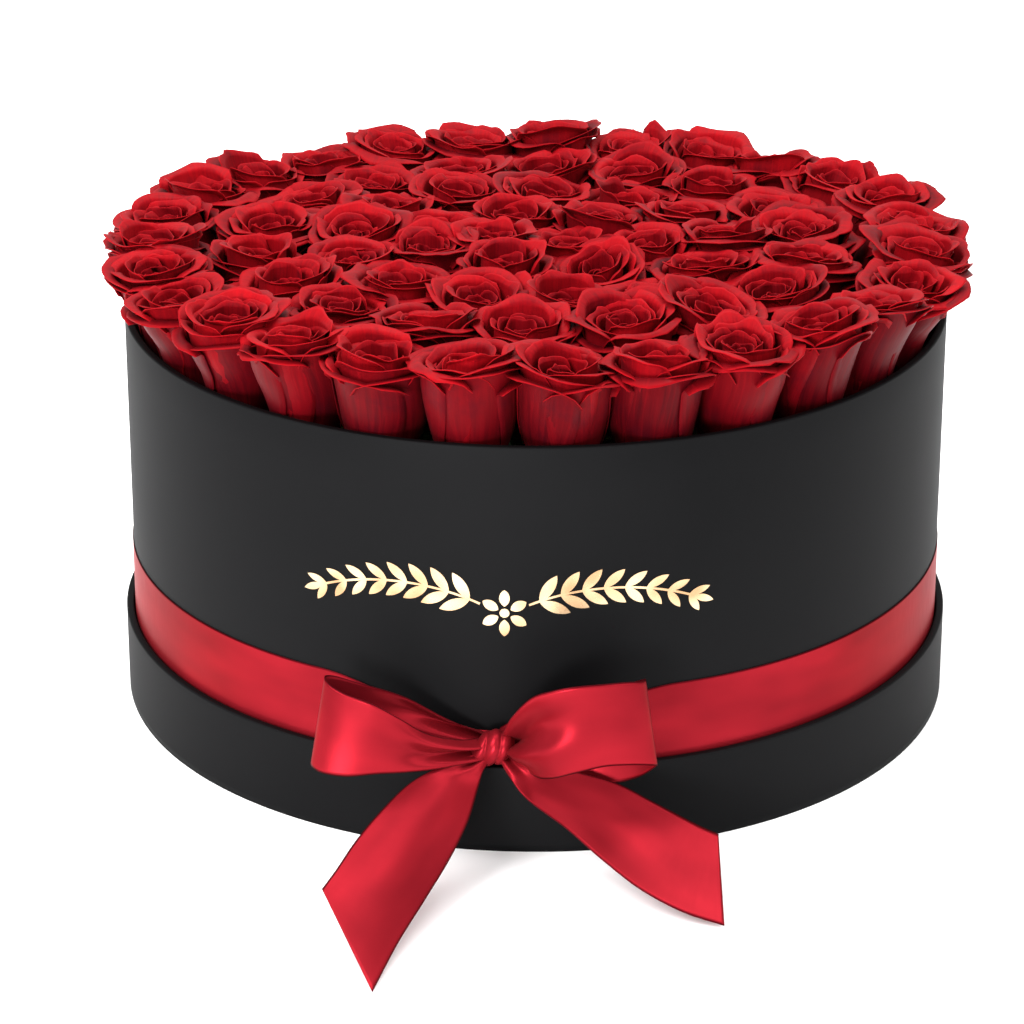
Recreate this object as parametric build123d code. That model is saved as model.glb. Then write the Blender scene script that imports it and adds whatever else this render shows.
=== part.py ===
"""Round gift box of preserved roses, standing in its own upturned lid, with a satin ribbon and bow.

Frame: millimetres, +Z up, origin on the box's axis at the underside of the lid that serves as a
tray. The front, with the foil sprig and the bow, faces -Y.
"""

import math
import os
import random

from build123d import *

# ---- Driving dimensions -------------------------------------------------------------------
BOX_R = 210.0            # outside radius of the covered box wall
BOX_RIM_Z = 208.0        # height of the box rim above the table
BOARD = 3.0              # greyboard thickness of the rolled walls
FLOOR_BOARD = 2.5        # greyboard thickness of the round panels
PAPER = 0.5              # covering paper with its glue line
TRAY_GAP = 1.0           # play between the box and the lid it stands in
TRAY_H = 45.0            # depth of the lid
TURN_IN = 20.0           # covering paper turned over the box rim to the inside

RIBBON_W = 40.0          # satin ribbon width
RIBBON_T = 0.5           # satin ribbon thickness
RIBBON_TUCK = 2.0        # part of the ribbon that sits down behind the tray rim
STRIP_T = 0.8            # thickness of the bow's strips, slightly heavier than one ply

INSERT_PLAY = 1.5        # play between the insert and the box lining
FOAM_H = 60.0            # thickness of the floral foam disc
FOAM_TOP_Z = 170.0
STEM_R = 2.0
STEM_BOTTOM_Z = 130.0
STEM_PLAY = 0.25         # play of the lift-out rose's stem in its hole
HIP_BOTTOM_Z = 178.0
HEAD_BOTTOM_Z = 187.0
LIP_Z = 236.0            # height of the rolled outer petal tips
HEAD_TOP_Z = 243.0
SEPAL_R = 15.0           # reach of the five sepals
SEPAL_T = 0.8

# Each ring of roses: (half-width across, half-depth, number of roses, angle of the first one
# from the front in degrees, largest cup radius). The outer ring follows the wall; the inner ones
# close up on a pair of roses in the middle.
RINGS = [
    (184.2, 184.2, 27, 7.8, 21.1),
    (139.0, 139.0, 18, 1.4, 22.3),
    (94.0, 94.0, 13, -13.1, 22.3),
    (57.0, 47.0, 7, -14.1, 22.3),
]
SCATTER = 0.6            # how far a rose inside the outer ring may stand off its place
CENTRE_PAIR_X = 18.5     # the middle pair stands this far to either side
CENTRE_PAIR_Y = -5.0
HEAD_GAP = 0.2           # half the clearance between neighbouring heads
RIM_LEAN = 9.0           # outer ring: how far the lip is pushed out over the box rim
RIM_FLARE = 6.0          # outer ring: how much wider the lip is than the cup, front to back

# ---- Sizes that follow --------------------------------------------------------------------
BOX_WALL_IN = BOX_R - PAPER - BOARD
BOX_IN_R = BOX_WALL_IN - PAPER
TRAY_IN_R = BOX_R + TRAY_GAP
TRAY_BOARD_IN = TRAY_IN_R + PAPER
TRAY_BOARD_OUT = TRAY_BOARD_IN + BOARD
TRAY_R = TRAY_BOARD_OUT + PAPER
TRAY_FLOOR_Z = PAPER + FLOOR_BOARD + PAPER
BOX_FLOOR_Z = TRAY_FLOOR_Z + PAPER + FLOOR_BOARD + PAPER
RIBBON_BOTTOM_Z = TRAY_H - RIBBON_TUCK
RIBBON_TOP_Z = RIBBON_BOTTOM_Z + RIBBON_W
INSERT_R = BOX_IN_R - INSERT_PLAY
RISER_TOP_Z = FOAM_TOP_Z - FOAM_H

KNOT = Vector(-6.0, -(BOX_R + 9.0), 61.0)


# ---- Helpers ------------------------------------------------------------------------------
def disc(radius, z_low, z_high):
    """A flat round panel between two heights."""
    return Pos(0, 0, z_low) * extrude(Circle(radius), z_high - z_low)


def ring(r_in, r_out, z_low, z_high):
    """A short tube between two radii and two heights."""
    return Pos(0, 0, z_low) * extrude(Circle(r_out) - Circle(r_in), z_high - z_low)


def turned(points):
    """A solid of revolution about Z from a closed outline of (radius, height) points."""
    outline = Plane.XZ * make_face(Polyline(*points, close=True))
    return revolve(outline, Axis.Z)


def save(node, shapes):
    """Writes one STEP for a node: one solid, or a group of separate solids."""
    solids = [s for shape in shapes for s in shape.solids()]
    whole = solids[0] if len(solids) == 1 else Compound(children=solids)
    export_step(whole, f"parts/{node}.step")


def strip(stations):
    """A ribbon strip lofted through (centre, half-width vector, travel direction) stations."""
    sections = []
    for centre, half, travel in stations:
        across = half.normalized()
        plane = Plane(origin=centre, x_dir=across, z_dir=travel.normalized())
        sections.append(plane * Rectangle(2 * half.length, STRIP_T))
    return loft(sections, ruled=True)


# ---- The lid, used as a tray under the box --------------------------------------------------
def make_tray():
    """The upturned lid: a round panel inside a rolled band, all covered in black paper."""
    save("tray_underside_paper", [disc(TRAY_BOARD_OUT, 0, PAPER)])
    save("tray_panel_board", [disc(TRAY_BOARD_IN, PAPER, PAPER + FLOOR_BOARD)])
    save("tray_floor_lining", [disc(TRAY_IN_R, PAPER + FLOOR_BOARD, TRAY_FLOOR_Z)])
    save("tray_band_board", [ring(TRAY_BOARD_IN, TRAY_BOARD_OUT, PAPER, TRAY_H - PAPER)])
    wrap = turned([
        (TRAY_BOARD_OUT, 0), (TRAY_R, 0), (TRAY_R, TRAY_H), (TRAY_IN_R, TRAY_H),
        (TRAY_IN_R, TRAY_FLOOR_Z - PAPER), (TRAY_BOARD_IN, TRAY_FLOOR_Z - PAPER),
        (TRAY_BOARD_IN, TRAY_H - PAPER), (TRAY_BOARD_OUT, TRAY_H - PAPER),
    ])
    save("tray_band_wrap", [wrap])


# ---- The box ------------------------------------------------------------------------------
def make_box():
    """The box: floor panel, rolled wall, outer cover with its turn-in, and inner linings."""
    base_z = TRAY_FLOOR_Z + PAPER
    wall_out = BOX_R - PAPER
    turn_z = BOX_RIM_Z - TURN_IN
    save("box_underside_paper", [disc(wall_out, TRAY_FLOOR_Z, base_z)])
    save("box_floor_board", [disc(BOX_WALL_IN, base_z, base_z + FLOOR_BOARD)])
    save("box_floor_lining", [disc(BOX_IN_R, base_z + FLOOR_BOARD, BOX_FLOOR_Z)])
    save("box_wall_board", [ring(BOX_WALL_IN, wall_out, base_z, BOX_RIM_Z - PAPER)])
    cover = turned([
        (wall_out, TRAY_FLOOR_Z), (BOX_R, TRAY_FLOOR_Z), (BOX_R, BOX_RIM_Z),
        (BOX_IN_R, BOX_RIM_Z), (BOX_IN_R, turn_z), (BOX_WALL_IN, turn_z),
        (BOX_WALL_IN, BOX_RIM_Z - PAPER), (wall_out, BOX_RIM_Z - PAPER),
    ])
    save("box_outer_cover", [cover])
    save("box_wall_lining", [ring(BOX_IN_R, BOX_WALL_IN, BOX_FLOOR_Z - PAPER, turn_z)])


# ---- The gold foil garland stamped on the wall ------------------------------------------------
FOIL_T = 0.3
GARLAND_Z = 124.0        # height of the flower at its middle
GARLAND_HALF = 97.0      # reach of each branch to the side
GARLAND_RISE = 15.0      # height of a branch's arch
LEAF_PAIRS = 8           # pairs of leaves on each branch
LEAF_LONG, LEAF_WIDE = 17.0, 6.0
LEAF_SPREAD = 40         # angle between a leaf and its branch
STEM_WIDE = 1.1
FLOWER_PETALS = 6


def leaf(length, width):
    """A pointed leaf from the origin along +X, bounded by two arcs."""
    upper = ThreePointArc((0, 0), (length / 2, width / 2), (length, 0))
    lower = ThreePointArc((length, 0), (length / 2, -width / 2), (0, 0))
    return make_face(upper + lower)


def branch_point(side, share):
    """Point on a branch, in the wall's own plane, at a share of its reach from the flower."""
    height = GARLAND_RISE * math.sin(math.pi * share * 0.9) - 5.0 * share
    return side * GARLAND_HALF * share, height


def make_branch(side):
    """One branch of the garland with its paired leaves and an end leaf."""
    shapes = [trace(Spline(*[branch_point(side, t) for t in (0.12, 0.4, 0.7, 0.93)]), STEM_WIDE)]
    for i in range(LEAF_PAIRS):
        share = 0.17 + 0.72 * i / (LEAF_PAIRS - 1)
        x, z = branch_point(side, share)
        x_next, z_next = branch_point(side, share + 0.01)
        heading = math.degrees(math.atan2(z_next - z, x_next - x))
        size = 1.0 - 0.45 * share
        for spread in (LEAF_SPREAD, -LEAF_SPREAD):
            shapes.append(Pos(x, z) * Rot(0, 0, heading + spread) * leaf(LEAF_LONG * size, LEAF_WIDE * size))
    x, z = branch_point(side, 0.91)
    shapes.append(Pos(x, z) * Rot(0, 0, heading) * leaf(LEAF_LONG * 0.6, LEAF_WIDE * 0.6))
    return shapes


def make_foil():
    """Two leafy branches mirrored about a small flower, as thin foil on the round wall."""
    shapes = make_branch(1) + make_branch(-1)
    for i in range(FLOWER_PETALS):
        shapes.append(Rot(0, 0, 90 + i * 360 / FLOWER_PETALS) * Pos(3.4, 0) * leaf(8.5, 5.0))
    shapes.append(Circle(2.3))
    block = extrude(Plane.XZ * (Sketch() + shapes), 2 * BOX_R)
    shell = ring(BOX_R, BOX_R + FOIL_T, GARLAND_Z - 40, GARLAND_Z + 40)
    save("foil_garland", [shell & Pos(0, 0, GARLAND_Z) * block])


# ---- The ribbon and the bow -------------------------------------------------------------------
def make_ribbon():
    """The band round the wall, gathered at the front where it runs into the knot."""
    band = ring(BOX_R, BOX_R + RIBBON_T, RIBBON_BOTTOM_Z, RIBBON_TOP_Z)
    gather_x, knot_half = 70.0, 7.0
    for side in (1, -1):
        for edge_z, knot_z in ((RIBBON_TOP_Z, KNOT.Z + knot_half), (RIBBON_BOTTOM_Z, KNOT.Z - knot_half)):
            beyond = edge_z + (1 if edge_z > KNOT.Z else -1)
            corner = make_face(Polyline(
                (KNOT.X, knot_z), (KNOT.X + side * 6, knot_z), (KNOT.X + side * gather_x, edge_z),
                (KNOT.X + side * gather_x, beyond), (KNOT.X, beyond), close=True,
            ))
            band -= extrude(Plane.XZ * corner, 2 * BOX_R)
    save("ribbon_band", [band])


def knot_barrel():
    """The knot: a rounded barrel of folded ribbon pressed against the band."""
    half_h, waist, end_r = 9.0, 8.4, 5.5
    side = ThreePointArc((end_r, half_h), (waist, 0), (end_r, -half_h))
    outline = make_face(side + Polyline((end_r, -half_h), (0, -half_h), (0, half_h), (end_r, half_h)))
    return Pos(KNOT) * revolve(Plane.XZ * outline, Axis.Z)


def gripped(piece):
    """A strip without the end that the knot holds, cut flush with the knot's skin."""
    outside = piece - knot_barrel()
    return max(outside.solids(), key=lambda solid: solid.volume)


# Plan of a loop from the knot outwards and back: (distance to the side, distance to the front).
LOOP_PLAN = [
    (5.0, -1.0), (24.0, -2.5), (48.0, -1.0), (70.0, 4.0), (82.0, 13.0), (80.0, 22.5),
    (64.0, 27.0), (42.0, 23.0), (22.0, 13.0), (5.0, 4.5),
]
# Front outline of a loop: distance to the side, then the heights of its two edges over the knot.
LOOP_EDGES = [(4.0, -6.0, 6.0), (20.0, -8.0, 17.0), (44.0, -7.0, 28.0), (66.0, -5.0, 35.0), (90.0, -3.0, 41.0)]


def make_loops():
    """Left and right bow loops: a strip bent back on itself, narrow where the knot grips it."""
    for node, side in (("bow_loop_left", -1), ("bow_loop_right", 1)):
        plan = Spline(*[(KNOT.X + side * x, KNOT.Y - y) for x, y in LOOP_PLAN])
        strip_walls = extrude(trace(plan, STRIP_T), 2 * BOX_RIM_Z)
        low = [(KNOT.X + side * x, KNOT.Z + z) for x, z, _ in LOOP_EDGES]
        high = [(KNOT.X + side * x, KNOT.Z + z) for x, _, z in reversed(LOOP_EDGES)]
        front = make_face(Polyline(*low, *high, close=True))
        save(node, [gripped(strip_walls & extrude(Plane.XZ * front, 2 * BOX_R))])


# Each tail falls from the knot to the table: (centre, half-width vector) at each station.
TAIL_LEFT = [
    ((-10.5, -223.0, 55.0), (4.0, 0.5, -1.0)),
    ((-14.0, -239.0, 44.0), (13.0, -1.0, -3.0)),
    ((-27.0, -262.0, 35.0), (18.0, -4.0, -6.0)),
    ((-43.0, -292.0, 27.0), (18.0, -6.0, -7.0)),
    ((-57.0, -320.0, 20.0), (18.0, -6.0, -7.5)),
    ((-68.0, -347.0, 13.0), (18.0, -6.0, -8.0)),
]
TAIL_RIGHT = [
    ((-0.5, -223.0, 55.0), (-3.5, -1.0, -4.0)),
    ((20.0, -232.0, 45.0), (-7.0, -8.0, -9.0)),
    ((44.0, -239.0, 36.0), (-8.0, -16.0, -9.0)),
    ((70.0, -246.0, 26.0), (-7.0, -17.5, -8.5)),
    ((92.0, -253.0, 18.0), (-7.0, -17.5, -8.5)),
    ((112.0, -260.0, 11.5), (-7.0, -17.5, -8.5)),
]


def tail(stations, cut_from, cut_to):
    """A tail with its end cut off aslant, from one edge point to the other."""
    ready = []
    for i, (centre, half) in enumerate(stations):
        before = Vector(*stations[max(i - 1, 0)][0])
        after = Vector(*stations[min(i + 1, len(stations) - 1)][0])
        ready.append((Vector(*centre), Vector(*half), after - before))
    whole = strip(ready)
    a, b = Vector(*cut_from), Vector(*cut_to)
    travel = ready[-1][2].normalized()
    across = (b - a).normalized()
    normal = across.cross(Vector(0, 0, 1)).normalized()
    if normal.dot(travel) < 0:
        normal = -normal
    cutter = Plane(origin=(a + b) * 0.5 + normal * 100, z_dir=normal) * Box(400, 400, 200)
    return gripped(whole - cutter)


def make_tails():
    """Both tails, each with a slanted end whose longer tip nearly touches the table."""
    save("bow_tail_left", [tail(TAIL_LEFT, (-79, -312, 30), (-49, -356, 1))])
    save("bow_tail_right", [tail(TAIL_RIGHT, (103, -236, 25), (109, -283, 2))])


# ---- The insert: riser, foam and roses ---------------------------------------------------------
def rose_places():
    """(ring number, x, y, outward angle in degrees) of every rose; the middle pair has ring 0."""
    scatter = random.Random(7)
    places = []
    for number, (half_x, half_y, count, first, _) in enumerate(RINGS, start=1):
        off = 0.0 if number == 1 else SCATTER
        for i in range(count):
            angle = math.radians(first + i * 360 / count)
            x = half_x * math.sin(angle) + scatter.uniform(-off, off)
            y = -half_y * math.cos(angle) + scatter.uniform(-off, off)
            places.append((number, x, y, math.degrees(angle) - 90))
    places.append((0, -CENTRE_PAIR_X, CENTRE_PAIR_Y, 0.0))
    places.append((0, CENTRE_PAIR_X, CENTRE_PAIR_Y, 0.0))
    return places


def cup_radius(place, places):
    """Radius of a head: half the way to its nearest neighbour, up to its ring's largest."""
    number, x, y, _ = place
    nearest = min(math.dist((x, y), (other[1], other[2])) for other in places if other is not place)
    largest = RINGS[number - 1][4] if number else RINGS[-1][4]
    return min(largest, nearest / 2 - HEAD_GAP)


def rose_head(cup_r, at_rim):
    """One closed flower head about the origin; at the rim its lip is pushed outwards along +X."""
    lip_z, top_z = LIP_Z - HEAD_BOTTOM_Z, HEAD_TOP_Z - HEAD_BOTTOM_Z
    lean, flare = (RIM_LEAN, RIM_FLARE) if at_rim else (0.0, 0.0)
    levels = [
        (0.0, 0.40 * cup_r, 0.40 * cup_r, 0.0),
        (6.0, 0.78 * cup_r, 0.78 * cup_r, 0.0),
        (15.0, 0.96 * cup_r, 0.96 * cup_r, 0.0),
        (26.0, cup_r, cup_r, 0.0),
        (lip_z, cup_r + flare, cup_r + flare / 8, lean),
        (top_z, 0.85 * cup_r, 0.8 * cup_r, lean / 2),
    ]
    sections = [Pos(shift, 0, z) * Ellipse(a, b) for z, a, b, shift in levels]
    return Pos(0, 0, HEAD_BOTTOM_Z) * loft(sections, ruled=True)


def rose_calyx():
    """The hip under a head with five sepals that spread and droop a little."""
    hip = turned([
        (0, HIP_BOTTOM_Z), (STEM_R + 0.6, HIP_BOTTOM_Z), (5.2, HIP_BOTTOM_Z + 4.0),
        (5.6, HIP_BOTTOM_Z + 6.5), (4.8, HEAD_BOTTOM_Z), (0, HEAD_BOTTOM_Z),
    ])
    droop = 4.0
    cone = turned([
        (3.0, HEAD_BOTTOM_Z - SEPAL_T - 0.6), (SEPAL_R, HEAD_BOTTOM_Z - SEPAL_T - droop),
        (SEPAL_R, HEAD_BOTTOM_Z - droop), (3.0, HEAD_BOTTOM_Z - 0.6),
    ])
    star = Sketch() + [Rot(0, 0, 72 * i) * leaf(SEPAL_R, 5.5) for i in range(5)]
    sepals = cone & Pos(0, 0, HIP_BOTTOM_Z - 2) * extrude(star, 14)
    return hip + sepals


def rose_stem(play=0.0):
    """A stem from its hole's bottom to the hip, or with play the hole it stands in."""
    top = FOAM_TOP_Z + 1 if play else HIP_BOTTOM_Z
    return Pos(0, 0, STEM_BOTTOM_Z) * extrude(Circle(STEM_R + play), top - STEM_BOTTOM_Z)


def make_insert():
    """Riser block, foam disc with a hole for each stem, and the roses ring by ring."""
    save("riser_block", [disc(INSERT_R, BOX_FLOOR_Z, RISER_TOP_Z)])
    places = rose_places()
    holes = [Pos(x, y, 0) * rose_stem(play=STEM_PLAY) for _, x, y, _ in places]
    save("foam_disc", [disc(INSERT_R, RISER_TOP_Z, FOAM_TOP_Z) - holes])

    groups = [(f"ring_{n}", "s", [p for p in places if p[0] == n]) for n in range(1, len(RINGS) + 1)]
    groups += [("middle_rose", "", [places[-1]]), ("lift_out_rose", "", [places[-2]])]
    calyx, stem = rose_calyx(), rose_stem()
    for group, plural, members in groups:
        stands = [Pos(x, y, 0) * Rot(0, 0, turn) for _, x, y, turn in members]
        heads = [rose_head(cup_radius(place, places), place[0] == 1) for place in members]
        save(f"{group}_head{plural}", [stand * head for stand, head in zip(stands, heads)])
        save(f"{group}_calyx{plural and 'es'}", [stand * calyx for stand in stands])
        save(f"{group}_stem{plural}", [stand * stem for stand in stands])


def main():
    """Writes every node of the flower box."""
    os.makedirs("parts", exist_ok=True)
    make_tray()
    make_box()
    make_foil()
    make_ribbon()
    save("bow_knot", [knot_barrel()])
    make_loops()
    make_tails()
    make_insert()


main()
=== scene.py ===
"""Flower box: preserved red roses in a round black box that stands in its own lid, tied with satin.

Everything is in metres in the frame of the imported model: +Z up, the origin under the lid, the
front with the foil garland and the bow towards -Y.
"""

import logging
import math
import random
from dataclasses import dataclass, field
from enum import Enum

import bpy
import numpy as np
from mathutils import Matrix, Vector


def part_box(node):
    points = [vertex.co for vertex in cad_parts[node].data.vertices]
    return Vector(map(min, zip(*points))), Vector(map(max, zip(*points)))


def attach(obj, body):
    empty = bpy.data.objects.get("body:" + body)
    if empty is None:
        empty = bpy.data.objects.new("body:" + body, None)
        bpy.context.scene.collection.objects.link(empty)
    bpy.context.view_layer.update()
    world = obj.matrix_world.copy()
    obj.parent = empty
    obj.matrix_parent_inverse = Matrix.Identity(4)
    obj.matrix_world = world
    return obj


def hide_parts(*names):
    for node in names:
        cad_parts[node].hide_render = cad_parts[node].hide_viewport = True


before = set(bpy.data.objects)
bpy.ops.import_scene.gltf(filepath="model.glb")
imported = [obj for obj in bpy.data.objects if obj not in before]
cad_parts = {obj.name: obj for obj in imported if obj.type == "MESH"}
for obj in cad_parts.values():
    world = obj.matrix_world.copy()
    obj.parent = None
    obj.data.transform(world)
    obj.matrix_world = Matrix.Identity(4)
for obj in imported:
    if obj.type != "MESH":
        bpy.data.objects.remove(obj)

LOG = logging.getLogger("flower_box")
MM = 0.001
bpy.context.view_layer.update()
RIBBON_WIDTH = 40 * MM
RIBBON_PLY = 0.35 * MM  # satin is near 0.2 mm; its weave and soft folds make it look fuller


# ---- Colour and node helpers ------------------------------------------------------------------
def linear(hex_colour: str) -> tuple[float, float, float, float]:
    """Turns an sRGB hex colour into linear light.

    Args:
        hex_colour: six hex digits, such as "B51A24".

    Returns:
        Red, green and blue in linear light, and an alpha of 1.
    """
    channels = [int(hex_colour[i : i + 2], 16) / 255 for i in (0, 2, 4)]
    light = [c / 12.92 if c <= 0.04045 else ((c + 0.055) / 1.055) ** 2.4 for c in channels]
    return light[0], light[1], light[2], 1.0


def per_metre(length_mm: float) -> float:
    """Returns the scale at which a pattern repeats once in so many millimetres."""
    return 1 / (length_mm * MM)


def add_node(
    tree: bpy.types.NodeTree, kind: str, settings: dict | None = None, links: dict | None = None
) -> bpy.types.Node:
    """Adds one node with its settings and its incoming links.

    Args:
        tree: the material's node tree.
        kind: the node's type name without its "ShaderNode" prefix.
        settings: property names, or input socket names or numbers, and their values.
        links: input socket names or numbers, and the output sockets that feed them.

    Returns:
        The new node.
    """
    node = tree.nodes.new("ShaderNode" + kind)
    for key, value in (settings or {}).items():
        if isinstance(key, str) and hasattr(node, key):
            setattr(node, key, value)
        else:
            node.inputs[key].default_value = value
    for key, source in (links or {}).items():
        tree.links.new(source, node.inputs[key])
    return node


def add_ramp(
    tree: bpy.types.NodeTree, factor: bpy.types.NodeSocket, stops: list[tuple[float, str]]
) -> bpy.types.NodeSocket:
    """Adds a colour ramp through hex colours.

    Args:
        tree: the material's node tree.
        factor: the output socket that drives the ramp.
        stops: positions from 0 to 1 with their hex colours.

    Returns:
        The ramp's colour output.
    """
    ramp = add_node(tree, "ValToRGB", links={"Fac": factor})
    elements = ramp.color_ramp.elements
    while len(elements) < len(stops):
        elements.new(0.5)
    for element, (place, colour) in zip(elements, stops):
        element.position = place
        element.color = linear(colour)
    return ramp.outputs["Color"]


def new_tree(name: str) -> tuple[bpy.types.Material, bpy.types.NodeTree, bpy.types.Node]:
    """Makes an empty material with its shader wired to the output.

    Args:
        name: the material's name.

    Returns:
        The material, its node tree and its shader.
    """
    material = bpy.data.materials.new(name)
    material.use_nodes = True
    tree = material.node_tree
    tree.nodes.clear()
    shader = add_node(tree, "BsdfPrincipled")
    add_node(tree, "OutputMaterial", links={"Surface": shader.outputs["BSDF"]})
    return material, tree, shader


# ---- Finishes ---------------------------------------------------------------------------------
@dataclass(frozen=True)
class SoftTouchPaper:
    """Black soft-touch laminated paper, rolled on greyboard: deep, matte, with a faint pressed grain."""

    name: str
    deep: str = "060607"
    pale: str = "0A0A0B"
    cloud_mm: float = 111.1  # broad clouding left by the laminating rollers
    grain_mm: float = 1.6  # the paper's own grain is near 0.3 mm, drawn coarser so that it shows
    grain_depth_mm: float = 0.1
    roughness: float = 0.58
    uneven: float = 0.05  # how far the roughness wanders either way
    gloss: float = 0.06  # a soft-touch film throws back very little straight light

    def material(self) -> bpy.types.Material:
        """Returns the finished material."""
        material, tree, shader = new_tree(self.name)
        place = add_node(tree, "TexCoord").outputs["Object"]
        cloud = add_node(
            tree, "TexNoise", {"Scale": per_metre(self.cloud_mm), "Detail": 3.0}, {"Vector": place}
        )
        grain = add_node(
            tree, "TexNoise", {"Scale": per_metre(self.grain_mm), "Detail": 2.0}, {"Vector": place}
        )
        colour = add_ramp(tree, cloud.outputs["Fac"], [(0.3, self.deep), (0.7, self.pale)])
        tree.links.new(colour, shader.inputs["Base Color"])
        rough = add_node(
            tree, "MapRange",
            {"To Min": self.roughness - self.uneven, "To Max": self.roughness + self.uneven},
            {"Value": cloud.outputs["Fac"]},
        )
        tree.links.new(rough.outputs["Result"], shader.inputs["Roughness"])
        bump = add_node(
            tree, "Bump", {"Strength": 0.12, "Distance": self.grain_depth_mm * MM},
            {"Height": grain.outputs["Fac"]},
        )
        tree.links.new(bump.outputs["Normal"], shader.inputs["Normal"])
        shader.inputs["Specular IOR Level"].default_value = self.gloss
        return material


@dataclass(frozen=True)
class Greyboard:
    """Pressed waste-paper board: warm grey with darker fibres, fully matte."""

    name: str = "greyboard_pressed"
    dark: str = "86807A"
    ground: str = "A09A92"
    light: str = "ACA69D"
    fibre_mm: float = 1.2  # fibres are finer, drawn coarser so that they show
    fibre_depth_mm: float = 0.1

    def material(self) -> bpy.types.Material:
        """Returns the finished material."""
        material, tree, shader = new_tree(self.name)
        place = add_node(tree, "TexCoord").outputs["Object"]
        fibres = add_node(
            tree, "TexNoise", {"Scale": per_metre(self.fibre_mm), "Detail": 4.0, "Distortion": 1.5},
            {"Vector": place},
        )
        colour = add_ramp(
            tree, fibres.outputs["Fac"], [(0.3, self.dark), (0.5, self.ground), (0.75, self.light)]
        )
        tree.links.new(colour, shader.inputs["Base Color"])
        bump = add_node(
            tree, "Bump", {"Strength": 0.2, "Distance": self.fibre_depth_mm * MM},
            {"Height": fibres.outputs["Fac"]},
        )
        tree.links.new(bump.outputs["Normal"], shader.inputs["Normal"])
        shader.inputs["Roughness"].default_value = 0.9
        return material


@dataclass(frozen=True)
class StampedFoil:
    """Hot-stamped gold foil: a bright metal skin, slightly uneven where it follows the paper's grain."""

    name: str = "gold_foil_stamped"
    warm: str = "B08A66"
    pale: str = "D6BA94"
    blush_mm: float = 16.67  # broad patches where the foil took the paper's warmth
    grain_mm: float = 1.5  # the paper's grain through the foil, drawn coarser so that it shows
    grain_depth_mm: float = 0.1

    def material(self) -> bpy.types.Material:
        """Returns the finished material."""
        material, tree, shader = new_tree(self.name)
        place = add_node(tree, "TexCoord").outputs["Object"]
        grain = add_node(
            tree, "TexNoise", {"Scale": per_metre(self.grain_mm), "Detail": 2.0}, {"Vector": place}
        )
        blush = add_node(
            tree, "TexNoise", {"Scale": per_metre(self.blush_mm), "Detail": 1.0}, {"Vector": place}
        )
        colour = add_ramp(tree, blush.outputs["Fac"], [(0.3, self.warm), (0.6, self.pale)])
        tree.links.new(colour, shader.inputs["Base Color"])
        rough = add_node(
            tree, "MapRange", {"To Min": 0.22, "To Max": 0.36}, {"Value": grain.outputs["Fac"]}
        )
        tree.links.new(rough.outputs["Result"], shader.inputs["Roughness"])
        bump = add_node(
            tree, "Bump", {"Strength": 0.15, "Distance": self.grain_depth_mm * MM},
            {"Height": grain.outputs["Fac"]},
        )
        tree.links.new(bump.outputs["Normal"], shader.inputs["Normal"])
        shader.inputs["Metallic"].default_value = 1.0
        return material


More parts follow.
